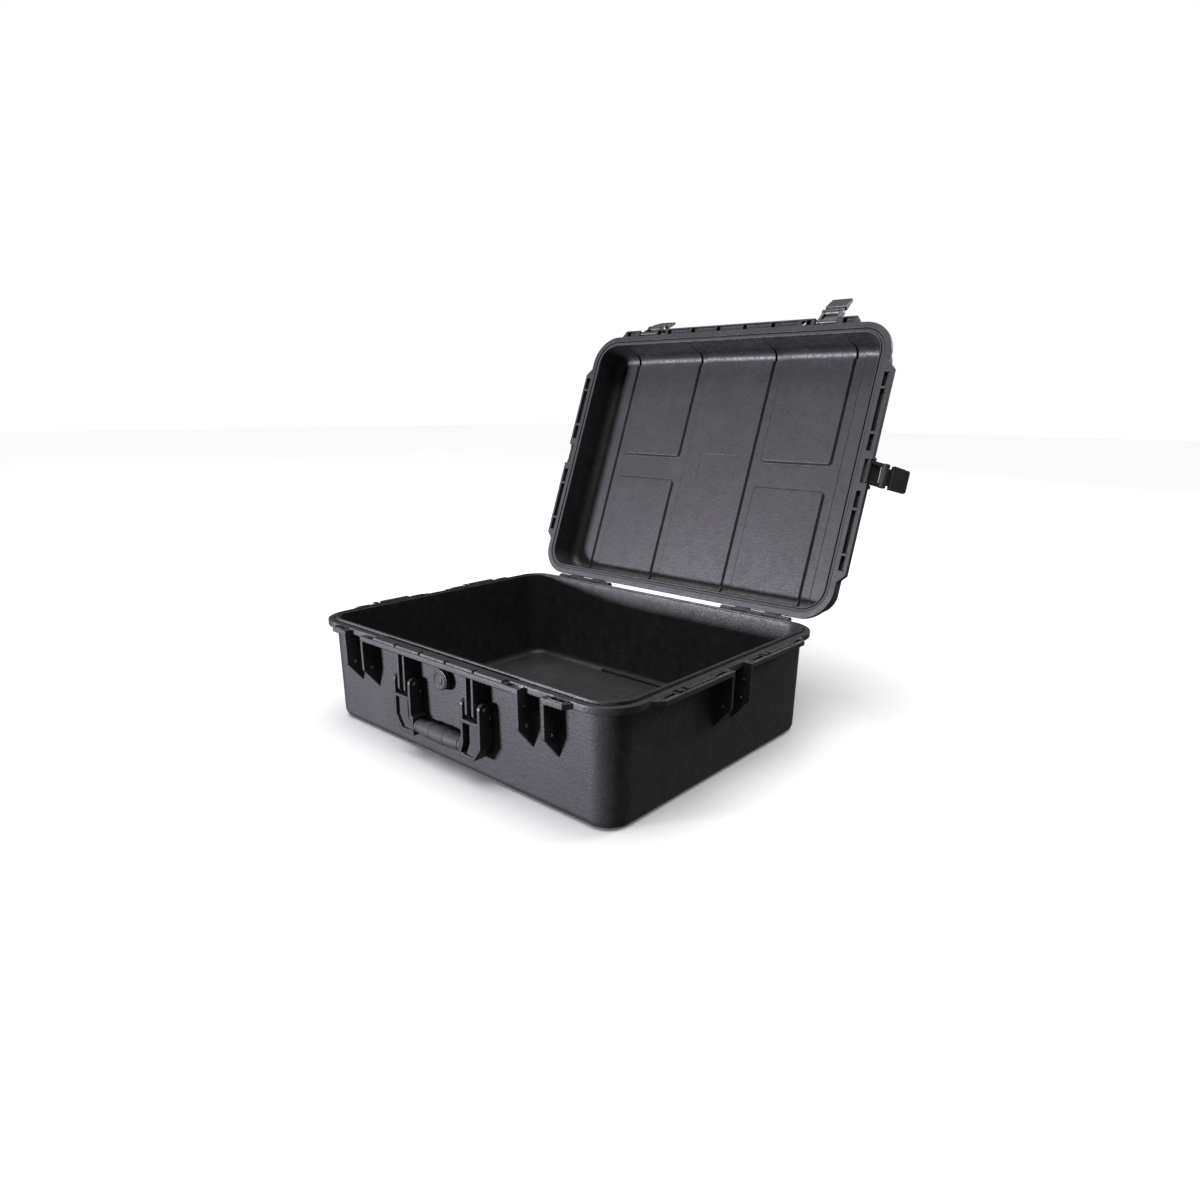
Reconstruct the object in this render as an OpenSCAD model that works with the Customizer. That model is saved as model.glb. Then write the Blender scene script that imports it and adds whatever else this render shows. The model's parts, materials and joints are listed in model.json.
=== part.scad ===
// Hinged roof-rack cargo case: a moulded tub and lid, four two-stage latches,
// a fold-flat carry handle, a pressure-relief valve and two pinned hinges.
// Frame: X along the front, Y from front to back, Z up, origin at the centre
// of the underside. Distances "out" are measured from the rim line outwards.

/* [Rim] */
// Width of the rim line, left to right
rim_width = 552; // [500:1:600]
// Depth of the rim line, front to back
rim_depth = 429.5; // [400:0.5:460]
// Plan radius of the rim corners
rim_radius = 38; // [34:1:44]
// Height of the parting plane between tub and lid
mate_z = 151; // [140:1:200]

/* [Tub] */
// Thickness of the tub floor
floor_t = 4; // [3:0.5:5]
// Inset of the tub wall at the parting flange
wall_inset = 2; // [1.5:0.5:3]
// Extra inset of the wall at the floor, which gives the mould draft
wall_draft = 4; // [3:0.5:6]
// Wall thickness of the tub
wall_t = 4.2; // [3.5:0.1:5]
// Radius between the wall and the floor, outside
floor_radius = 12; // [9:1:15]

/* [Lid] */
// Height of the lid above the parting plane
lid_height = 64; // [56:1:72]
// Wall thickness of the lid
lid_t = 3.7; // [3:0.1:4.5]
// Depth of the channels pressed into the lid
channel_depth = 4; // [2:0.2:5]
// Opening angle of the lid as stored
lid_open = 110.4; // [0:0.1:110.4]

/* [Rails] */
// How far the rim flange stands out
flange_out = 10; // [8:0.5:12]
// How far the rails stand out
rail_out = 20.5; // [18:0.5:24]
// Height of the rails on tub and lid
rail_h = 8.6; // [7:0.2:10]
// Offset of the front latches from the middle
latch_x = 172.6; // [160:0.2:180]
// Clear gap in the rails for one latch
latch_gap = 36; // [34:1:38]

/* [Latches] */
// Elevation of the front left latch, -98 lies in its gap when the lid is shut
front_left_angle = 46; // [-98:1:62]
// Elevation of the front right latch
front_right_angle = 30; // [-98:1:62]
// Elevation of the right side latch
right_angle = 45; // [-98:1:62]
// Elevation of the left side latch
left_angle = 60; // [-98:1:62]

/* [Handle] */
// Width of each handle arm
arm_width = 36; // [32:1:38]
// Offset of the handle arms from the middle
arm_x = 68; // [64:1:72]
// Lift of the handle from hanging flat
handle_lift = 0; // [0:1:95]

/* [Hidden] */
$fn = 64;

black_pp = [0.09, 0.09, 0.1];
black_rubber = [0.05, 0.05, 0.055];
steel = [0.72, 0.72, 0.7];
half_w = rim_width / 2;
half_d = rim_depth / 2;
corner_x = half_w - rim_radius;
corner_y = half_d - rim_radius;

// Heights around the parting plane
flange_top = mate_z - 1.5;
flange_low = mate_z - 10;
rail_top = mate_z - 3.4;
pad_top = mate_z - 0.2;
tongue_top = mate_z + 1.4;
ledge_z = mate_z - 0.5;
lid_low = mate_z + 0.2;
lid_rail_top = lid_low + rail_h;
seal_low = tongue_top + 0.3;
seal_top = seal_low + 4.4;

// Radial places of the rim details, from the corner centres
flange_r = rim_radius + flange_out;
tongue_in = rim_radius - 3.6;
rim_wall_r = rim_radius - wall_inset;
rim_inner_r = rim_radius - 6.5;
gutter_r = rim_radius + 2.4;
seal_in = rim_radius - 4.4;
seal_out = rim_radius + 0.6;
lid_opening_r = rim_radius - 6.2;

// Latch pivots: out from the rim line and height, with the lid closed.
// A shut latch leans inwards, so that it lies within the depth of its ribs.
link_out = 15.5;
link_z = mate_z + 6;
link_len = 24;
latch_len = 62;
shut_lean = 7.8;
pin_r = 2;
rib_t = 4.8;

// Keepers on the ribs, by their distance along a shut latch
lug_at = 32;
lug_r = 1.8;
lug_tip = 2.5;
stud_at = 56;
stud_r = 2;
stud_tip = 1.4;
function shut_place(s) = [link_out - s * sin(shut_lean), link_z - s * cos(shut_lean)];
lug = shut_place(lug_at);
stud = shut_place(stud_at);

// Hinge axis
hinge_y = half_d + 17;
hinge_z = mate_z - 4;
knuckle_r = 5.6;
hinge_pin_r = 2;
hinge_edges = [114, 136, 158, 188, 210, 232];
hinge_gap = 0.5;

// Handle pivot
arm_pivot_out = 10.7;
arm_pivot_z = 102.5;
arm_pin_r = 2.5;
arm_back = -1.8;
arm_front = 18;
arm_flange_t = 4.5;
arm_in = arm_x - arm_width / 2;
arm_edge = arm_x + arm_width / 2;
bracket_ribs = [arm_x - 8.5, arm_x + 3.5];
bracket_t = 4;
grip_half = 47;
grip_z = 46.5;
grip_out = 8.6;

// Valve
valve_z = 118.5;
boss_out = -1;
boss_in = -9.5;
boss_r = 15;
stem_r = 8;

// Channels of the lid: middle lines, width and side slopes, measured on the inside
channels = [74, 215];
channel_w = 20;
channel_slope = 3;
band_half = 23;
panel_r = 5;

// Latch stations: plan position and turn of the outward direction
front_left = [[-latch_x, -half_d], 180];
front_right = [[latch_x, -half_d], 180];
right_side = [[half_w, 0], -90];
left_side = [[-half_w, 0], 90];
stations = [front_left, front_right, right_side, left_side];

// ---- helpers ----

function arc(c, r, a0, a1, n = 8) =
    [for (i = [0:n]) c + r * [cos(a0 + (a1 - a0) * i / n), sin(a0 + (a1 - a0) * i / n)]];
function flip(points) = [for (i = [len(points) - 1:-1:0]) [-points[i][0], points[i][1]]];
function shift(points, dx) = [for (p = points) [p[0] + dx, p[1]]];

// Sweeps a profile (x out from the corner centres, y up) around the rounded plan
module sweep_rim() {
    for (k = [0:3]) {
        a = k % 2 == 0 ? corner_x : corner_y;
        b = k % 2 == 0 ? corner_y : corner_x;
        rotate([0, 0, 90 * k]) translate([a, b, 0]) {
            rotate_extrude(angle = 90, $fn = 72) children();
            rotate([90, 0, 0]) linear_extrude(2 * b) children();
        }
    }
}

// A closed solid with a profile that reaches the corner centres, from z0 to z1
module swept_solid(points, z0, z1) {
    sweep_rim() polygon(points);
    translate([-corner_x, -corner_y, z0]) cube([2 * corner_x, 2 * corner_y, z1 - z0]);
}

// Extrudes a (y, z) outline along X
module along_x(x0, x1) {
    translate([x0, 0, 0]) rotate([90, 0, 90]) linear_extrude(x1 - x0) children();
}

// A round bar along X through (y, z)
module bar_x(x0, x1, y, z, r) {
    translate([x0, y, z]) rotate([0, 90, 0]) cylinder(h = x1 - x0, r = r);
}

// Puts a local frame (X along the rim, Y outwards) at a station
module at(station) {
    translate([station[0][0], station[0][1], 0]) rotate([0, 0, station[1]]) children();
}

module at_front() {
    translate([0, -half_d, 0]) rotate([0, 0, 180]) children();
}

// Turns the lid and all that rides on it about the hinge
module lid_pose() {
    translate([0, hinge_y, hinge_z]) rotate([-lid_open, 0, 0])
        translate([0, -hinge_y, -hinge_z]) children();
}

// Local link frame: origin on the link pin, link hanging towards -Z
module link_pose(station, angle) {
    lid_pose() at(station) translate([0, link_out, link_z]) rotate([angle + 90, 0, 0]) children();
}

module handle_pose() {
    at_front() translate([0, arm_pivot_out, arm_pivot_z]) rotate([handle_lift, 0, 0])
        translate([0, -arm_pivot_out, -arm_pivot_z]) children();
}

// ---- tub ----

function wall_r(z) = rim_wall_r - wall_draft * (flange_low - 3 - z) / (flange_low - 3);

tub_outer = concat([[0, 0]],
    arc([wall_r(floor_radius) - floor_radius, floor_radius], floor_radius, -90, 0),
    [[rim_wall_r, flange_low - 3], [flange_r - 1, flange_low - 0.6], [flange_r, flange_low + 0.4],
     [flange_r, flange_top - 0.6], [flange_r - 0.6, flange_top], [gutter_r, flange_top],
     [gutter_r, flange_top - 2.6], [rim_radius, flange_top - 2.6],
     [rim_radius, tongue_top - 0.5], [rim_radius - 0.5, tongue_top], [tongue_in + 0.5, tongue_top],
     [tongue_in, tongue_top - 0.5], [tongue_in, ledge_z], [0, ledge_z]]);

function tub_inner_r(z) = wall_r(z) - wall_t;
inner_radius = floor_radius - 1;
tub_inner = concat([[0, floor_t]],
    arc([tub_inner_r(floor_t + inner_radius) - inner_radius, floor_t + inner_radius],
        inner_radius, -90, 0),
    [[rim_inner_r - 0.4, ledge_z - 8], [rim_inner_r, ledge_z], [rim_inner_r, ledge_z + 10],
     [0, ledge_z + 10]]);

// Underside relief between the feet, and the floor kept above it
relief_half = 95;
relief_h = 5;
relief_y = 17;

module tub_relief(grow) {
    w = relief_half + grow;
    h = relief_h + grow;
    d = relief_y + grow;
    for (k = [0, 180]) rotate([0, 0, k]) translate([0, half_d, -1]) rotate([90, 0, 0])
        linear_extrude(d) polygon([[-w - 5, 0], [-w - 4, 1], [-w, h + 1], [w, h + 1], [w + 4, 1],
            [w + 5, 0]]);
}

module tub_cavity() {
    difference() {
        swept_solid(tub_inner, floor_t, ledge_z + 10);
        tub_relief(floor_t);
    }
}

// Rail outline in plan: square towards a latch, chamfered at the far end
module rail_plan(x0, x1, chamfer) {
    polygon([[x0, flange_out - 3], [x0, rail_out], [x1 - chamfer, rail_out],
        [x1, flange_out - 1], [x1, flange_out - 3]]);
}

front_bar = latch_x - latch_gap / 2;
block_start = latch_x + latch_gap / 2;
block_end = 230;
side_start = latch_gap / 2;
side_end = 165;
padlock_x = 136;
padlock_r = 4;
padlock_out = 14.2;

module padlock_holes(z) {
    at_front() for (x = [-padlock_x, padlock_x])
        translate([x, padlock_out, z]) cylinder(h = 12, r = padlock_r);
}

module rails_plan() {
    at_front() {
        translate([-front_bar, flange_out - 3]) square([2 * front_bar, rail_out - flange_out + 3]);
        for (m = [0, 1]) mirror([m, 0, 0]) rail_plan(block_start, block_end, 7.5);
    }
    for (s = [right_side, left_side], m = [0, 1]) at(s) mirror([m, 0, 0])
        rail_plan(side_start, side_end, 12);
}

// Raised pads and locating nubs on top of the tub rails
pad_pitch = 51.6;
pad_len = 47;
pad_in = flange_out + 0.6;
pad_w = 8;
nub_r = 4.4;

module pad(x0, x1) {
    translate([x0, pad_in, rail_top - 1]) cube([x1 - x0, pad_w, pad_top - rail_top + 1]);
}

module rail_pads() {
    at_front() for (i = [-2:2]) pad(i * pad_pitch - pad_len / 2, i * pad_pitch + pad_len / 2);
    // the pads and nubs at the sides are the same way round, so they aren't mirrored
    for (s = [-1, 1]) {
        mirror([s < 0 ? 1 : 0, 0, 0]) at(right_side) {
            pad(60, 111);
            pad(-117, -66);
            for (x = [120, -58]) translate([x, pad_in + pad_w / 2, rail_top - 1])
                cylinder(h = pad_top - rail_top + 1, r = nub_r);
        }
    }
}

// Slots in the top of the tub rails, as [from, to, inner side, outer side]
slot_depth = 5;
slot_rim = 1.3;
slot_rim_h = 1.2;
side_slots = [[30, 53, flange_out + 2.2, flange_out + 7.8],
    [131, 150, flange_out + 2.2, flange_out + 7.8]];
block_slots = [[201.5, 211, flange_out + 2.2, flange_out + 7.6],
    [212.4, 221, flange_out + 2.2, flange_out + 7.6]];

module at_slots() {
    for (s = [right_side, left_side], m = [0, 1], q = side_slots)
        at(s) mirror([m, 0, 0]) slot_box(q, $grow, $z0, $z1);
    at_front() for (m = [0, 1], q = block_slots) mirror([m, 0, 0]) slot_box(q, $grow, $z0, $z1);
}

module slot_box(q, grow, z0, z1) {
    translate([q[0] - grow, q[2] - grow, z0])
        cube([q[1] - q[0] + 2 * grow, q[3] - q[2] + 2 * grow, z1 - z0]);
}

module slot_rims() {
    at_slots($grow = slot_rim, $z0 = rail_top - 1, $z1 = rail_top + slot_rim_h);
}

module rail_slots() {
    at_slots($grow = 0, $z0 = rail_top - slot_depth, $z1 = mate_z);
}

// Pair of ribs that flank a latch; each runs back into the wall
module latch_ribs() {
    for (m = [0, 1]) mirror([m, 0, 0]) {
        along_x(latch_gap / 2, latch_gap / 2 + rib_t) difference() {
            polygon([[-5.5, flange_low + 1], [rail_out, flange_low + 1],
                [rail_out - 1.1, stud[1] - 2], [-3.8, stud[1] - 29.5], [-5.5, stud[1] - 29.5]]);
            translate(stud) circle(r = stud_r + 0.02);
        }
        // lug that the jaw of the lever closes round
        bar_x(latch_gap / 2 - lug_tip, latch_gap / 2 + 1, lug[0], lug[1], lug_r);
    }
}

module handle_ribs() {
    foot_z = arm_pivot_z - 14;
    for (m = [0, 1], x = bracket_ribs) mirror([m, 0, 0]) along_x(x, x + bracket_t)
        difference() {
            polygon([[-5.5, flange_low + 1], [arm_front, flange_low + 1],
                [arm_front, foot_z + 4], [arm_front - 4, foot_z], [-3, foot_z], [-5.5, foot_z - 3]]);
            translate([arm_pivot_out, arm_pivot_z]) circle(r = arm_pin_r + 0.02);
        }
}

// Every other hinge knuckle from "first" on, with the arm that joins it to its shell
module knuckles(first) {
    for (m = [0, 1], i = [first:2:4]) mirror([m, 0, 0])
        along_x(hinge_edges[i] + hinge_gap / 2, hinge_edges[i + 1] - hinge_gap / 2)
            difference() {
                union() {
                    translate([hinge_y, hinge_z]) circle(r = knuckle_r);
                    children();
                }
                translate([hinge_y, hinge_z]) circle(r = hinge_pin_r + 0.06);
            }
}

module base_shell() {
    color(black_pp) difference() {
        union() {
            difference() {
                swept_solid(tub_outer, 0, ledge_z);
                tub_cavity();
            }
            translate([0, 0, flange_low]) linear_extrude(rail_top - flange_low) rails_plan();
            rail_pads();
            slot_rims();
            for (s = stations) at(s) latch_ribs();
            at_front() handle_ribs();
            knuckles(0) translate([half_d + 5, hinge_z - 5.2])
                square([hinge_y - half_d - 5, flange_top - hinge_z + 5.2]);
            on_valve(boss_in) cylinder(h = boss_out - boss_in, r = boss_r);
        }
        tub_relief(0);
        rail_slots();
        padlock_holes(flange_low - 1);
        on_valve(boss_in - 1) cylinder(h = boss_out - boss_in + 2, r = stem_r + 0.05);
    }
}

// Studs that snap into the sides of a shut lever
module keeper_pins() {
    color(steel) for (s = stations, m = [0, 1]) at(s) mirror([m, 0, 0])
        bar_x(latch_gap / 2 - stud_tip, latch_gap / 2 + rib_t + 0.7, stud[0], stud[1], stud_r);
}

// ---- lid ----

panel_top = mate_z + lid_height - channel_depth;
lid_radius = 16;
lid_wall_top_r = rim_wall_r - 2;
lid_outer = concat([[0, lid_low], [flange_r - 0.6, lid_low], [flange_r, lid_low + 0.6],
    [flange_r, lid_rail_top - 1], [flange_r - 1, lid_rail_top], [rim_wall_r + 0.6, lid_rail_top + 1]],
    arc([lid_wall_top_r - lid_radius, panel_top - lid_radius], lid_radius, 0, 90), [[0, panel_top]]);

// Cross-section of the lid cavity; "deep" adds the channel depth to its ceiling
function lid_inner(deep) = let (top = panel_top - lid_t + deep, r = lid_radius - 2)
    concat([[0, lid_low - 10], [lid_opening_r, lid_low - 10], [lid_opening_r, lid_low],
        [lid_wall_top_r - lid_t + deep * 0.25, top - r]],
        arc([lid_wall_top_r - lid_t + deep * 0.25 - r, top - r], r, 0, 90), [[0, top]]);

// Cross-section of a raised strip outside, over the channel
strip_outer = let (top = mate_z + lid_height, r = lid_radius)
    concat([[0, lid_rail_top], [rim_wall_r, lid_rail_top],
        [lid_wall_top_r + 1.2, top - r - 14]],
        arc([lid_wall_top_r + 1.2 - r, top - r], r, 0, 90), [[0, top]]);

// A full-depth slice of the lid, made of one side profile and its mirror image
module slice_x(x0, x1, points) {
    along_x(x0, x1) {
        polygon(shift(points, corner_y));
        polygon(shift(flip(points), -corner_y));
        z0 = min([for (p = points) p[1]]);
        z1 = max([for (p = points) p[1]]);
        translate([-corner_y, z0]) square([2 * corner_y, z1 - z0]);
    }
}

// Inside faces of the ceiling: the panels and the floor of the channels
ceiling = panel_top - lid_t;
channel_floor = ceiling + channel_depth;
ceiling_half = corner_y + lid_wall_top_r - lid_t - (lid_radius - 2);

// Section of a raised panel between x0 and x1, with sloped sides
module panel_section(x0, x1) {
    s = channel_slope;
    polygon([[x0, ceiling - 3], [x1, ceiling - 3], [x1, ceiling], [x1 + s, channel_floor],
        [x1 + s, channel_floor + 1], [x0 - s, channel_floor + 1], [x0 - s, channel_floor],
        [x0, ceiling]]);
}

// A panel that runs from a rounded edge at y0 to the wall
module lid_panel(x0, x1, y0, y1) {
    r = panel_r;
    translate([0, y0 + r, 0]) rotate([90, 0, 0]) mirror([0, 0, 1])
        linear_extrude(y1 - y0 - r) panel_section(x0, x1);
    along_x(x0 + r, x1 - r) panel_section(y0, y1);
    for (x = [x0 + r, x1 - r]) translate([x, y0 + r, ceiling]) {
        cylinder(h = channel_depth, r1 = r, r2 = r + channel_slope);
        translate([0, 0, -3]) cylinder(h = 3, r = r);
        translate([0, 0, channel_depth]) cylinder(h = 1, r = r + channel_slope);
    }
}

module lid_channels() {
    w = channel_w / 2;
    far = channels[1] + w;
    end = ceiling_half + 1;
    // narrow slots that carry the channels over the curve and down the walls
    for (m = [0, 1], c = channels) mirror([m, 0, 0])
        slice_x(c - w + channel_slope, c + w - channel_slope, lid_inner(channel_depth));
    difference() {
        translate([0, ceiling_half, 0]) rotate([90, 0, 0]) linear_extrude(2 * ceiling_half)
            polygon([[-far, ceiling - 1], [far, ceiling - 1], [far, ceiling],
                [far - channel_slope, channel_floor], [channel_slope - far, channel_floor],
                [-far, ceiling]]);
        translate([0, end, 0]) rotate([90, 0, 0]) linear_extrude(2 * end)
            panel_section(w - channels[0], channels[0] - w);
        for (m = [0, 1], k = [0, 1]) mirror([m, 0, 0]) mirror([0, k, 0])
            lid_panel(channels[0] + w, channels[1] - w, band_half, end);
    }
    // shallow blank label field
    translate([2, -5, ceiling - 1]) linear_extrude(1.5) rounded_field(37, 24, 5);
}

module rounded_field(hx, hy, r) {
    polygon(concat(arc([hx - r, hy - r], r, 0, 90), arc([r - hx, hy - r], r, 90, 180),
        arc([r - hx, r - hy], r, 180, 270), arc([hx - r, r - hy], r, 270, 360)));
}

module lid_strips() {
    for (m = [0, 1]) mirror([m, 0, 0]) {
        for (c = channels) slice_x(c - channel_w / 2 - lid_t, c + channel_w / 2 + lid_t, strip_outer);
        translate([channels[0], -band_half - lid_t, panel_top - 1])
            cube([channels[1] - channels[0], 2 * (band_half + lid_t), channel_depth + 1]);
    }
}

// Gussets that carry a link pin on both sides of a latch gap
module lid_gussets() {
    for (m = [0, 1]) mirror([m, 0, 0]) along_x(latch_gap / 2, latch_gap / 2 + rib_t)
        polygon(concat([[-4, lid_low], [rail_out, lid_low]],
            arc([rail_out - 4.5, lid_rail_top + 4.5], 4.5, 0, 70),
            [[-2.4, lid_rail_top + 18], [-4, lid_rail_top + 18]]));
}

// Ladders of pockets, open towards the parting face, as [from, to] along a rail
pocket_depth = 6.2;
front_pockets = [[79.4, 127], [141.4, 148.8], [201, 219]];
side_pockets = [[29.5, 54.5], [58.5, 122], [125.5, 147]];

module ladder(q, inner, outer) {
    translate([q[0], inner, lid_low - 1])
        cube([q[1] - q[0], outer - inner, pocket_depth + 1]);
}

module lid_pockets() {
    at_front() {
        for (i = [-1:1]) ladder([(i - 0.5) * pad_pitch + 2, (i + 0.5) * pad_pitch - 1.2],
            flange_out + 0.2, rail_out - 1.9);
        for (m = [0, 1], q = front_pockets) mirror([m, 0, 0])
            ladder(q, flange_out + 0.2, rail_out - 1.9);
    }
    for (s = [right_side, left_side], m = [0, 1], q = side_pockets) at(s) mirror([m, 0, 0])
        ladder(q, flange_out - 2, rail_out - 4);
}

// Heel that meets the tub's flange when the lid is fully open
module lid_heels() {
    for (m = [0, 1]) mirror([m, 0, 0]) along_x(hinge_edges[1] + 2, hinge_edges[2] - 2)
        translate([hinge_y, hinge_z]) rotate(110.4)
            polygon([[-2.6, 2.5], [-6.85, 0], [-6.85, -3], [-2.6, -4]]);
}

module lid_body() {
    difference() {
        union() {
            difference() {
                union() {
                    swept_solid(lid_outer, lid_low, panel_top);
                    lid_strips();
                }
                swept_solid(lid_inner(0), lid_low - 10, panel_top - lid_t);
                lid_channels();
            }
            translate([0, 0, lid_low]) linear_extrude(rail_h) rails_plan();
            for (s = stations) at(s) lid_gussets();
            knuckles(1) {
                translate([half_d + flange_out + 0.5, hinge_z]) square([6.5, lid_rail_top - hinge_z]);
                translate([half_d + 5, lid_low]) square([12, lid_rail_top - lid_low]);
            }
            lid_heels();
        }
        // groove for the seal and the tub's tongue
        sweep_rim() translate([seal_in - 0.1, lid_low - 1])
            square([seal_out - seal_in + 0.2, seal_top - lid_low + 1]);
        lid_pockets();
        padlock_holes(lid_low - 1);
        for (s = stations) at(s)
            bar_x(-link_pin_half - 0.4, link_pin_half + 0.4, link_out, link_z, pin_r + 0.02);
    }
}

module lid_shell() {
    color(black_pp) lid_pose() lid_body();
}

module lid_seal() {
    color(black_rubber) lid_pose() sweep_rim() polygon([[seal_in, seal_top], [seal_in, seal_low + 1],
        [seal_in + 1, seal_low], [seal_out - 1, seal_low], [seal_out, seal_low + 1], [seal_out, seal_top]]);
}

module hinge_pin(side) {
    x0 = hinge_edges[0] - 0.8;
    x1 = hinge_edges[5] + 0.8;
    color(steel) mirror([side < 0 ? 1 : 0, 0, 0]) bar_x(x0, x1, hinge_y, hinge_z, hinge_pin_r);
}

// ---- latches ----
// Side outlines of the latch have Y outwards and Z along the latch, from the link pin

link_half = latch_gap / 2 - 1;
link_pin_half = latch_gap / 2 + 3.5;
arm_t = 4.8;
arm_in_x = link_half - arm_t;
arm_half = 2.8;
eye_r = 4.2;
roller_r = 5.6;
jaw_to = 34.4;
skin_out = 4.6;
tip_r = 4;

module latch_link(station, angle) {
    color(black_pp) link_pose(station, angle) {
        for (m = [0, 1]) mirror([m, 0, 0]) along_x(arm_in_x, link_half) difference() {
            union() {
                circle(r = eye_r);
                translate([-arm_half, -link_len]) square([2 * arm_half, link_len]);
                translate([0, -link_len]) circle(r = roller_r);
            }
            circle(r = pin_r + 0.06);
            translate([0, -link_len]) circle(r = pin_r + 0.02);
        }
        // tube round the link pin, and the plate between the arms
        along_x(-arm_in_x - 0.5, arm_in_x + 0.5) difference() {
            union() {
                circle(r = 3.4);
                translate([1, -18.1]) square([1.9, 18.1]);
                translate([-1.4, -6.4]) square([2.8, 1.6]);
            }
            circle(r = pin_r + 0.06);
        }
    }
}

module latch_lever(station, angle) {
    // outline of the plate, from the jaw to the tip: a wedge with a bevelled tip
    plate = [[skin_out, -jaw_to], [skin_out, -latch_len + 2], [skin_out - 1.4, -latch_len],
        [1.9, -latch_len], [0.9, -latch_len + 1.2], [-3.4, -jaw_to - 2.6], [-3.4, -jaw_to - 0.6],
        [-2.8, -jaw_to]];
    color(black_pp) link_pose(station, angle) difference() {
        union() {
            intersection() {
                along_x(-link_half, link_half) polygon(plate);
                // rounded tip corners
                rotate([90, 0, 0]) translate([0, 0, -skin_out - 1]) linear_extrude(skin_out + 6)
                    polygon(concat([[link_half, 1 - jaw_to], [-link_half, 1 - jaw_to]],
                        arc([tip_r - link_half, tip_r - latch_len], tip_r, 180, 270),
                        arc([link_half - tip_r, tip_r - latch_len], tip_r, 270, 360)));
            }
            // neck between the arms of the link, round the lever pin
            along_x(-arm_in_x + 0.4, arm_in_x - 0.4) {
                translate([0, -link_len]) circle(r = roller_r);
                translate([-0.6, -jaw_to - 0.5]) square([skin_out + 0.6, jaw_to - link_len + 0.5]);
            }
        }
        bar_x(-link_half, link_half, 0, -link_len, pin_r + 0.06);
        // dimples that snap on to the studs
        for (m = [0, 1]) mirror([m, 0, 0])
            bar_x(link_half - 0.8, link_half + 1, 0, -stud_at, stud_r + 0.3);
    }
}

module link_pin(station) {
    color(steel) lid_pose() at(station)
        bar_x(-link_pin_half, link_pin_half, link_out, link_z, pin_r);
}

module lever_pin(station, angle) {
    color(steel) link_pose(station, angle) bar_x(-link_half, link_half, 0, -link_len, pin_r);
}

// ---- handle ----

// Extrudes an (x, z) outline outwards, from "depth" behind the front of the arms
module from_front(depth, length) {
    translate([0, arm_front - depth, 0]) rotate([90, 0, 0]) mirror([0, 0, 1])
        linear_extrude(length) children();
}

module handle_frame() {
    top_z = arm_pivot_z - 17.5;
    panel_z = top_z - 4;
    channel_in = 12;
    panel_in = 4;
    color(black_pp) handle_pose() {
        for (m = [0, 1]) mirror([m, 0, 0]) {
            // two flanges that straddle the bracket ribs
            for (x = [arm_in, arm_edge - arm_flange_t]) along_x(x, x + arm_flange_t) difference() {
                union() {
                    translate([arm_pivot_out, arm_pivot_z]) circle(r = arm_front - arm_pivot_out);
                    polygon([[arm_front, arm_pivot_z], [arm_front, top_z - 2], [arm_back, top_z - 2],
                        [arm_back, arm_pivot_z - 8], [arm_pivot_out - 7.3, arm_pivot_z]]);
                }
                translate([arm_pivot_out, arm_pivot_z]) circle(r = arm_pin_r + 0.06);
                translate([1.3, arm_pivot_z - 12.8]) circle(r = 1.52);
            }
            // lower arm, turned in towards the grip
            difference() {
                from_front(arm_front - arm_back, arm_front - arm_back) polygon(concat(
                    [[arm_in, top_z], [arm_edge, top_z]], arc([arm_edge - 8, 56.6], 8, 0, -35.7, 4),
                    arc([arm_edge - 17.1, 40.5], 6, -35.7, -90, 4), [[grip_half - 1, 34.5],
                    [grip_half - 1, 58.5], [arm_in - 1.5, 60], [arm_in, 63]]));
                // dark channel next to the inner flange, and a shallow panel beside it
                from_front(channel_in, channel_in + 1) polygon([[arm_in + 4.5, panel_z],
                    [arm_in + 12, panel_z], [arm_in + 12, 55], [arm_in + 6, 41],
                    [arm_in - 0.5, 41], [arm_in + 4.5, 55]]);
                from_front(panel_in, panel_in + 1) polygon([[arm_in + 11, panel_z],
                    [arm_edge - 4.5, panel_z], [arm_edge - 4.5, 55.5], [arm_edge - 15, 40],
                    [arm_in + 5, 40], [arm_in + 11, 54]]);
            }
        }
        // cross bar inside the grip
        bar_x(-grip_half, grip_half, grip_out, grip_z, 6);
    }
}

module handle_grip() {
    color(black_rubber) handle_pose() difference() {
        along_x(-grip_half + 1.2, grip_half - 1.2) union() {
            translate([grip_out, grip_z]) circle(r = 9.9);
            translate([grip_out - 2, grip_z - 9.9]) square([4, 19.8]);
        }
        bar_x(-grip_half, grip_half, grip_out, grip_z, 6.02);
    }
}

module handle_pin(side) {
    color(steel) at_front() mirror([side < 0 ? 0 : 1, 0, 0])
        bar_x(arm_in - 0.4, arm_edge + 0.4, arm_pivot_out, arm_pivot_z, arm_pin_r);
}

module handle_stop_pins() {
    color(steel) handle_pose() for (m = [0, 1], x = [arm_in - 0.5, arm_edge - arm_flange_t])
        mirror([m, 0, 0]) bar_x(x, x + arm_flange_t + 0.5, 1.3, arm_pivot_z - 12.8, 1.5);
}

// ---- pressure valve ----

module on_valve(out) {
    at_front() translate([0, out, valve_z]) rotate([-90, 0, 0]) children();
}

module valve_body() {
    color(black_pp) on_valve(0) difference() {
        union() {
            translate([0, 0, boss_in - 5.5]) cylinder(h = 7 - boss_in, r = stem_r);
            translate([0, 0, 0.4]) cylinder(h = 2.4, r = 13.2);
        }
        // vent bore and the seat of the membrane
        translate([0, 0, boss_in - 6]) cylinder(h = 30, r = 3);
        translate([0, 0, boss_in - 6]) cylinder(h = 5, r = 5.6);
        // groove for the washer
        difference() {
            translate([0, 0, 0.3]) cylinder(h = 0.9, r = 12);
            cylinder(h = 3, r = 9);
        }
    }
}

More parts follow.
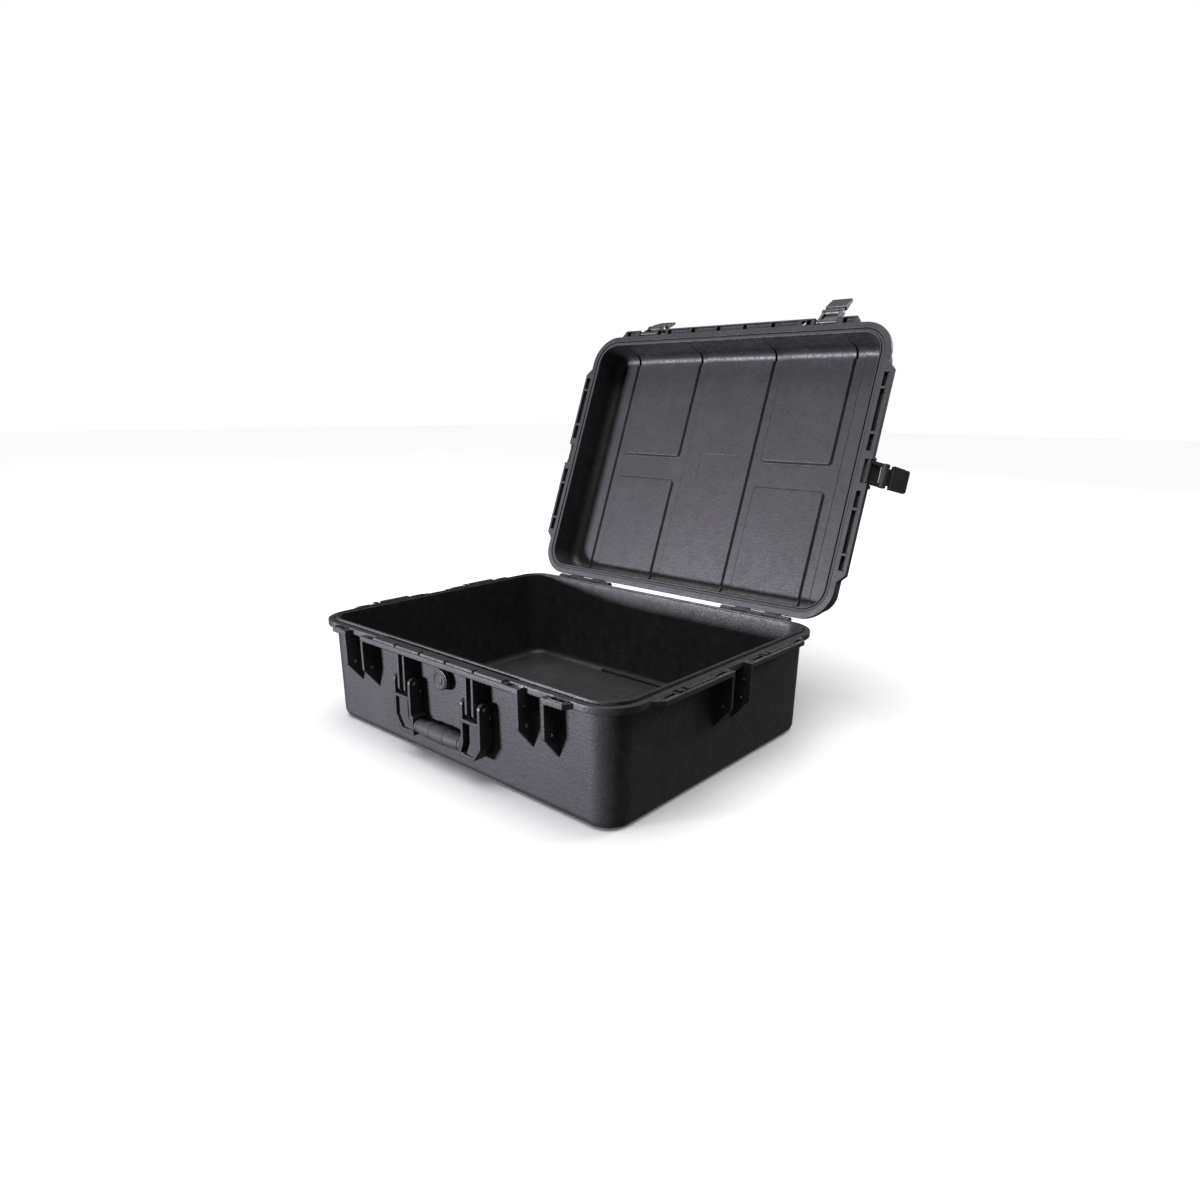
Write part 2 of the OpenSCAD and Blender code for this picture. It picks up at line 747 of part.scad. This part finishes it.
module valve_washer() {
    color(black_rubber) on_valve(boss_out + 0.02) difference() {
        cylinder(h = 2.1, r = 11.8);
        translate([0, 0, -1]) cylinder(h = 5, r = 9.2);
    }
}

module valve_nut() {
    color(black_pp) on_valve(boss_in - 4.4) difference() {
        cylinder(h = 4.2, r = 13, $fn = 6);
        translate([0, 0, -1]) cylinder(h = 7, r = 8.03);
    }
}

module valve_vent() {
    color([0.8, 0.8, 0.78]) on_valve(boss_in - 3.4) cylinder(h = 1.5, r = 5.5);
}

module valve_knob() {
    flutes = 18;
    color(black_pp) on_valve(3.1) difference() {
        union() {
            cylinder(h = 4.6, r = 13.4);
            translate([0, 0, 4.5]) cylinder(h = 1.2, r = 11.6);
        }
        for (i = [0:flutes - 1]) rotate([0, 0, i * 360 / flutes]) translate([14.6, 0, -1])
            cylinder(h = 8, r = 1.7, $fn = 24);
        // dished face with a raised centre
        difference() {
            translate([0, 0, 4.8]) cylinder(h = 2, r = 9.6);
            cylinder(h = 9, r = 5.2);
        }
    }
}

base_shell();
lid_shell();
lid_seal();
hinge_pin(-1);  // hinge_pin_left
hinge_pin(1);  // hinge_pin_right
keeper_pins();
handle_frame();
handle_grip();
handle_pin(-1);  // handle_pin_left
handle_pin(1);  // handle_pin_right
handle_stop_pins();
valve_body();
valve_washer();
valve_nut();
valve_vent();
valve_knob();
latch_link(front_left, front_left_angle);  // front_left_link
latch_lever(front_left, front_left_angle);  // front_left_lever
link_pin(front_left);  // front_left_link_pin
lever_pin(front_left, front_left_angle);  // front_left_lever_pin
latch_link(front_right, front_right_angle);  // front_right_link
latch_lever(front_right, front_right_angle);  // front_right_lever
link_pin(front_right);  // front_right_link_pin
lever_pin(front_right, front_right_angle);  // front_right_lever_pin
latch_link(right_side, right_angle);  // right_link
latch_lever(right_side, right_angle);  // right_lever
link_pin(right_side);  // right_link_pin
lever_pin(right_side, right_angle);  // right_lever_pin
latch_link(left_side, left_angle);  // left_link
latch_lever(left_side, left_angle);  // left_lever
link_pin(left_side);  // left_link_pin
lever_pin(left_side, left_angle);  // left_lever_pin
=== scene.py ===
import json
import math

import bmesh
import bpy
from mathutils import Matrix, Vector


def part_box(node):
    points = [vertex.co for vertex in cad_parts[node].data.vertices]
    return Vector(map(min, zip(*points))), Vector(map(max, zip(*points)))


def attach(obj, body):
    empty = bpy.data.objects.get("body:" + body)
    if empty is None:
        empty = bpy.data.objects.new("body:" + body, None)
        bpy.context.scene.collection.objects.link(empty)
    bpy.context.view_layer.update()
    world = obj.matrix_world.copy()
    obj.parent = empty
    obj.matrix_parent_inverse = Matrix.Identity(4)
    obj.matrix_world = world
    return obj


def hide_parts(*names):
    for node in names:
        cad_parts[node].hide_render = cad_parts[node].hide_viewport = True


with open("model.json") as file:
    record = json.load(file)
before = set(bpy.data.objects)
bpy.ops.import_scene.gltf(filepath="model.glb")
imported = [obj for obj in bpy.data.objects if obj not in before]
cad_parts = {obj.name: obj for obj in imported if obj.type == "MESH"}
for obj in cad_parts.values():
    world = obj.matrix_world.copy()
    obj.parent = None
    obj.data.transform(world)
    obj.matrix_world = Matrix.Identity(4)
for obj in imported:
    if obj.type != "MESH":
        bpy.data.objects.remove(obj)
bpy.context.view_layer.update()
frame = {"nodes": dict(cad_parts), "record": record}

MM = 0.001
nodes = frame["nodes"]
record = frame["record"]
slot_of = {s["node"]: s["material_slot"] for s in record["subparts"]}


# ---- materials ----

class Shade:
    """A small builder for one Principled material, with textures in the piece's own metres."""

    def __init__(self, name):
        self.mat = bpy.data.materials.new(name)
        self.mat.use_nodes = True
        self.tree = self.mat.node_tree
        self.bsdf = self.tree.nodes["Principled BSDF"]
        self.where = self.add("ShaderNodeTexCoord").outputs["Object"]

    def add(self, kind, **values):
        node = self.tree.nodes.new(kind)
        for key, value in values.items():
            setattr(node, key, value)
        return node

    def link(self, source, target):
        self.tree.links.new(source, target)

    def noise(self, size, detail=2.0, rough=0.5, stretch=(1, 1, 1)):
        """Noise whose lumps are about size metres across."""
        node = self.add("ShaderNodeTexNoise")
        node.inputs["Scale"].default_value = 1 / size
        node.inputs["Detail"].default_value = detail
        node.inputs["Roughness"].default_value = rough
        if stretch == (1, 1, 1):
            self.link(self.where, node.inputs["Vector"])
        else:
            turn = self.add("ShaderNodeMapping")
            turn.inputs["Scale"].default_value = stretch
            self.link(self.where, turn.inputs["Vector"])
            self.link(turn.outputs["Vector"], node.inputs["Vector"])
        return node.outputs["Fac"]

    def cells(self, size):
        """Rounded cells about size metres across, as a leather-like mould grain has."""
        node = self.add("ShaderNodeTexVoronoi")
        node.inputs["Scale"].default_value = 1 / size
        self.link(self.where, node.inputs["Vector"])
        return node.outputs["Distance"]

    def span(self, value, low, high, from_low=0.3, from_high=0.7):
        """Carries a value from one range to another."""
        node = self.add("ShaderNodeMapRange")
        node.inputs["From Min"].default_value = from_low
        node.inputs["From Max"].default_value = from_high
        node.inputs["To Min"].default_value = low
        node.inputs["To Max"].default_value = high
        self.link(value, node.inputs["Value"])
        return node.outputs["Result"]

    def combine(self, kind, a, b):
        """Adds or multiplies two values, each a number or a socket."""
        node = self.add("ShaderNodeMath", operation=kind)
        for socket, value in zip(node.inputs, (a, b)):
            if isinstance(value, (int, float)):
                socket.default_value = value
            else:
                self.link(value, socket)
        return node.outputs[0]

    def blend(self, factor, low, high):
        """A colour between two, by a factor."""
        node = self.add("ShaderNodeMix", data_type="RGBA")
        node.inputs["A"].default_value = (*low, 1)
        node.inputs["B"].default_value = (*high, 1)
        self.link(factor, node.inputs["Factor"])
        return node.outputs["Result"]

    def bump(self, height, strength, distance, after=None):
        node = self.add("ShaderNodeBump")
        node.inputs["Strength"].default_value = strength
        node.inputs["Distance"].default_value = distance
        self.link(height, node.inputs["Height"])
        if after is not None:
            self.link(after, node.inputs["Normal"])
        return node.outputs["Normal"]

    def set(self, **values):
        """Links or sets sockets of the shader, named with _ for a space."""
        for key, value in values.items():
            socket = self.bsdf.inputs[key.replace("_", " ")]
            if isinstance(value, bpy.types.NodeSocket):
                self.link(value, socket)
            else:
                socket.default_value = value


MEDIUM_GRAIN = 3.2     # lumps of the mould texture, in sizes of its finest cells
CLOUD = 16 * MM        # size of the cloudy marks in gloss and tone
PATCH = 70 * MM        # size of the large, faint patches


def moulded_black(name, dark, light, rough, grain, depth):
    """Black moulded plastic: leathery grain, cloudy gloss, a faint haze in the hollows of the grain, and
    painted shade that darkens the colour in those hollows.
    """
    s = Shade(name)
    fine = s.cells(grain)
    medium = s.noise(grain * MEDIUM_GRAIN, detail=3)
    cloud = s.noise(CLOUD, detail=4, rough=0.6)
    patch = s.noise(PATCH, detail=2)
    tone_and_hollow_shade = s.combine("MULTIPLY", s.span(cloud, 0.1, 1.0), s.span(patch, 0.6, 1.0))
    # painted shade: the hollows of the medium grain, the low parts of its bump, are given a darker colour
    tone_and_hollow_shade = s.combine("MULTIPLY", tone_and_hollow_shade, s.span(medium, 0.35, 1.2, 0.35, 0.65))
    s.set(Base_Color=s.blend(tone_and_hollow_shade, dark, light))
    gloss = s.combine("ADD", s.span(cloud, 0.05, -0.06), s.span(medium, rough + 0.09, rough - 0.09))
    s.set(Roughness=gloss)
    coarse = s.bump(medium, 0.6, depth * 2)
    s.set(Normal=s.bump(fine, 0.5, depth, after=coarse))
    s.set(Specular_IOR_Level=0.5)
    return s.mat


def rubber(name):
    """Matt black elastomer with a fine, soft tooth."""
    s = Shade(name)
    tooth = s.noise(0.9 * MM, detail=4, rough=0.65)
    smear = s.noise(12 * MM, detail=3)
    s.set(Base_Color=s.blend(smear, (0.012, 0.012, 0.0125), (0.03, 0.03, 0.031)))
    s.set(Roughness=s.span(smear, 0.62, 0.78))
    s.set(Normal=s.bump(tooth, 0.35, 0.12 * MM))
    return s.mat


def steel(name):
    """Drawn stainless bar with fine lines along it and a few dull spots."""
    s = Shade(name)
    lines = s.noise(0.5 * MM, detail=3, stretch=(0.04, 1, 1))
    spots = s.noise(4 * MM, detail=4)
    s.set(Base_Color=s.blend(spots, (0.42, 0.41, 0.39), (0.66, 0.66, 0.64)), Metallic=1.0)
    s.set(Roughness=s.span(lines, 0.22, 0.4))
    s.set(Normal=s.bump(lines, 0.15, 0.05 * MM))
    return s.mat


def membrane(name):
    """Pale sintered disc with open pores, their colour darkened as painted shade."""
    s = Shade(name)
    pores_and_pore_shade = s.cells(0.6 * MM)
    # painted shade: the colour darkens towards the middle of each pore, where the bump is lowest
    s.set(Base_Color=s.blend(pores_and_pore_shade, (0.45, 0.44, 0.41), (0.8, 0.79, 0.75)))
    s.set(Roughness=0.85, Normal=s.bump(pores_and_pore_shade, 0.6, 0.1 * MM))
    return s.mat


MATERIALS = {
    "textured_polypropylene": moulded_black(
        "textured_polypropylene", dark=(0.009, 0.009, 0.010), light=(0.042, 0.040, 0.044),
        rough=0.48, grain=1.1 * MM, depth=0.22 * MM),
    "latch_plastic": moulded_black(
        "latch_plastic", dark=(0.012, 0.012, 0.013), light=(0.034, 0.034, 0.036),
        rough=0.42, grain=0.7 * MM, depth=0.07 * MM),
    "soft_rubber": rubber("soft_rubber"),
    "stainless_steel": steel("stainless_steel"),
    "vent_membrane": membrane("vent_membrane"),
}


# ---- CAD nodes ----

# how far the sharp edges of each material are broken
EDGE = {"textured_polypropylene": 0.5 * MM, "latch_plastic": 0.4 * MM, "soft_rubber": 0.4 * MM,
        "stainless_steel": 0.25 * MM, "vent_membrane": 0.2 * MM}
SHARP = math.radians(28)
WELD_REACH = 0.02 * MM


def soften(obj, radius):
    """Breaks the sharp edges of a CAD node and shades its curves smooth. Its mesh stays as it is."""
    weld = obj.modifiers.new("weld", "WELD")
    weld.merge_threshold = WELD_REACH
    bevel = obj.modifiers.new("bevel", "BEVEL")
    bevel.width = radius
    bevel.segments = 2
    bevel.limit_method = "ANGLE"
    bevel.angle_limit = SHARP
    bevel.use_clamp_overlap = False
    bevel.miter_outer = "MITER_SHARP"
    bevel.loop_slide = False
    normals = obj.modifiers.new("normals", "WEIGHTED_NORMAL")
    normals.mode = "FACE_AREA"
    normals.weight = 80


def dress_cad():
    for name, obj in nodes.items():
        slot = slot_of[name]
        obj.data.materials.clear()
        obj.data.materials.append(MATERIALS[slot])
        soften(obj, EDGE[slot])


dress_cad()


# ---- grip ----

COLLAR = 4.2 * MM         # plain end collars
COLLAR_R = 9.4 * MM
COLLAR_LIP = 0.7 * MM
COLLAR_STEP = 0.5 * MM
NECK = 1.4 * MM           # groove between a collar and the ribbed part
NECK_DEPTH = 1.0 * MM
GRIP_R = 11.2 * MM
GRIP_TAPER = 2.4 * MM     # how much thinner the ends are
FIELD = 14 * MM           # half the length of the middle field
SEAM_DEPTH = 0.9 * MM     # grooves between the fields
SEAM_WIDTH = 0.7 * MM
RIB_PITCH = 2.8 * MM
RIB_HEIGHT = 0.22 * MM
FINGER_PITCH = 21 * MM
FINGER_DEPTH = 0.9 * MM
FINGER_TURN = math.radians(65)
GRIP_STEPS = 368
GRIP_AROUND = 56


def add_piece(name, bm, material):
    mesh = bpy.data.meshes.new(name)
    bm.to_mesh(mesh)
    bm.free()
    mesh.shade_smooth()
    mesh.materials.append(material)
    obj = bpy.data.objects.new(name, mesh)
    bpy.context.scene.collection.objects.link(obj)
    return obj


def grip_radius(x, half, turn):
    """Radius of the grip at x: end collars, then three crowned fields with fine ribs and soft finger dips."""
    from_end = half - abs(x)
    if from_end < COLLAR_LIP:
        return COLLAR_R - COLLAR_STEP
    if from_end < COLLAR:
        return COLLAR_R
    if from_end < COLLAR + NECK:
        return COLLAR_R - NECK_DEPTH
    crown = GRIP_R - GRIP_TAPER * (x / half) ** 2
    for edge in (-FIELD, FIELD):
        crown -= SEAM_DEPTH * math.exp(-((x - edge) / SEAM_WIDTH) ** 2)
    rib = RIB_HEIGHT * (0.5 + 0.5 * math.cos(2 * math.pi * x / RIB_PITCH)) ** 2
    finger = FINGER_DEPTH * (0.5 - 0.5 * math.cos(2 * math.pi * x / FINGER_PITCH))
    inner = max(0.0, math.cos(turn - FINGER_TURN)) ** 2
    return crown + rib - finger * inner


def grip():
    """Rubber overmould of the carry handle; turn 0 points to the wall of the tub, 90 degrees up."""
    low, high = (Vector(v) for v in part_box("handle_grip"))
    middle = (low + high) / 2
    half = (high.x - low.x) / 2
    bm = bmesh.new()
    rings = []
    for i in range(GRIP_STEPS + 1):
        x = -half + 2 * half * i / GRIP_STEPS
        ring = []
        for k in range(GRIP_AROUND):
            turn = 2 * math.pi * k / GRIP_AROUND
            r = grip_radius(x, half, turn)
            y = middle.y + r * math.cos(turn)
            z = middle.z + r * math.sin(turn)
            ring.append(bm.verts.new((middle.x + x, y, z)))
        rings.append(ring)
    for a, b in zip(rings, rings[1:]):
        for k in range(GRIP_AROUND):
            n = (k + 1) % GRIP_AROUND
            bm.faces.new((a[k], a[n], b[n], b[k]))
    bm.faces.new(rings[0])
    bm.faces.new(rings[-1][::-1])
    bmesh.ops.recalc_face_normals(bm, faces=bm.faces)
    piece = add_piece("grip_cover", bm, MATERIALS["soft_rubber"])
    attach(piece, "handle")
    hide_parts("handle_grip")


grip()


# ---- stage ----

FLOOR_SIZE = 14
FLOOR_DROP = 0.2 * MM


def floor():
    """A pale floor just under the case, which the case neither mirrors nor takes light from."""
    mesh = bpy.data.meshes.new("floor")
    bm = bmesh.new()
    bmesh.ops.create_grid(bm, x_segments=1, y_segments=1, size=FLOOR_SIZE)
    bm.to_mesh(mesh)
    bm.free()
    obj = bpy.data.objects.new("floor", mesh)
    bpy.context.scene.collection.objects.link(obj)
    obj.location.z = -FLOOR_DROP
    s = Shade("floor")
    s.set(Base_Color=s.blend(s.noise(0.6, detail=3), (0.78, 0.78, 0.78), (0.82, 0.82, 0.82)))
    s.set(Roughness=0.9)
    mesh.materials.append(s.mat)
    obj.visible_glossy = False
    obj.visible_diffuse = False


def area_light(name, place, target, size, power, tint=(1, 1, 1)):
    """A rectangular lamp, turned from its place to its target."""
    data = bpy.data.lights.new(name, "AREA")
    data.color = tint
    data.shape = "RECTANGLE"
    data.size, data.size_y = size
    data.energy = power
    obj = bpy.data.objects.new(name, data)
    bpy.context.scene.collection.objects.link(obj)
    obj.location = place
    obj.rotation_mode = "QUATERNION"
    obj.rotation_quaternion = (Vector(target) - Vector(place)).to_track_quat("-Z", "Y")


def sky(seen, ambient):
    """A plain white surround: bright where the camera sees it, faint as a light on the case."""
    world = bpy.data.worlds.new("studio")
    bpy.context.scene.world = world
    world.use_nodes = True
    tree = world.node_tree
    level = tree.nodes.new("ShaderNodeMapRange")
    level.inputs["To Min"].default_value = ambient
    level.inputs["To Max"].default_value = seen
    ray = tree.nodes.new("ShaderNodeLightPath")
    tree.links.new(ray.outputs["Is Camera Ray"], level.inputs["Value"])
    back = tree.nodes["Background"]
    back.inputs["Color"].default_value = (1, 1, 1, 1)
    tree.links.new(level.outputs["Result"], back.inputs["Strength"])


def sun_light(name, toward, angle, strength):
    """A distant lamp that shines along a direction; a wide angle in degrees softens its shadows."""
    data = bpy.data.lights.new(name, "SUN")
    data.angle = math.radians(angle)
    data.energy = strength
    obj = bpy.data.objects.new(name, data)
    bpy.context.scene.collection.objects.link(obj)
    obj.rotation_mode = "QUATERNION"
    obj.rotation_quaternion = Vector(toward).to_track_quat("-Z", "Y")


def lights():
    """A low key lamp at the front left, a soft one behind and an overcast sky above."""
    area_light("key", place=(-2.2, -4.2, 0.27), target=(0, -0.1, 0.27), size=(0.9, 0.35),
               power=510, tint=(0.93, 0.895, 1.0))
    area_light("back_fill", place=(1.6, 3.2, 1.7), target=(0, 0.2, 0.3), size=(1.6, 1.0), power=75)
    sun_light("overhead", toward=(0.05, 0.1, -1), angle=60, strength=3.6)
    sky(seen=1.0, ambient=0.11)


CAMERA_PLACE = (0.7729, -0.8007, 0.4502)
CAMERA_AZIMUTH = math.radians(41.389)
CAMERA_ELEVATION = math.radians(13.578)
CAMERA_ROLL = math.radians(0.402)
SENSOR_WIDTH = 36
LENS = 24.16
CLIP_START = 0.01


def camera():
    """The photographer's place, to the front right of the case and a little above it."""
    azimuth, elevation, roll = CAMERA_AZIMUTH, CAMERA_ELEVATION, CAMERA_ROLL
    back = Vector((math.sin(azimuth) * math.cos(elevation), -math.cos(azimuth) * math.cos(elevation),
                   math.sin(elevation)))
    level = Vector((math.cos(azimuth), math.sin(azimuth), 0))
    up = back.cross(level)
    right = level * math.cos(roll) + up * math.sin(roll)
    up = up * math.cos(roll) - level * math.sin(roll)
    data = bpy.data.cameras.new("camera")
    data.sensor_width = SENSOR_WIDTH
    data.lens = LENS
    data.clip_start = CLIP_START
    obj = bpy.data.objects.new("camera", data)
    bpy.context.scene.collection.objects.link(obj)
    obj.matrix_world = Matrix((right, up, back)).transposed().to_4x4()
    obj.location = CAMERA_PLACE
    bpy.context.scene.camera = obj


floor()
lights()
camera()
bpy.context.scene.view_settings.view_transform = "Standard"
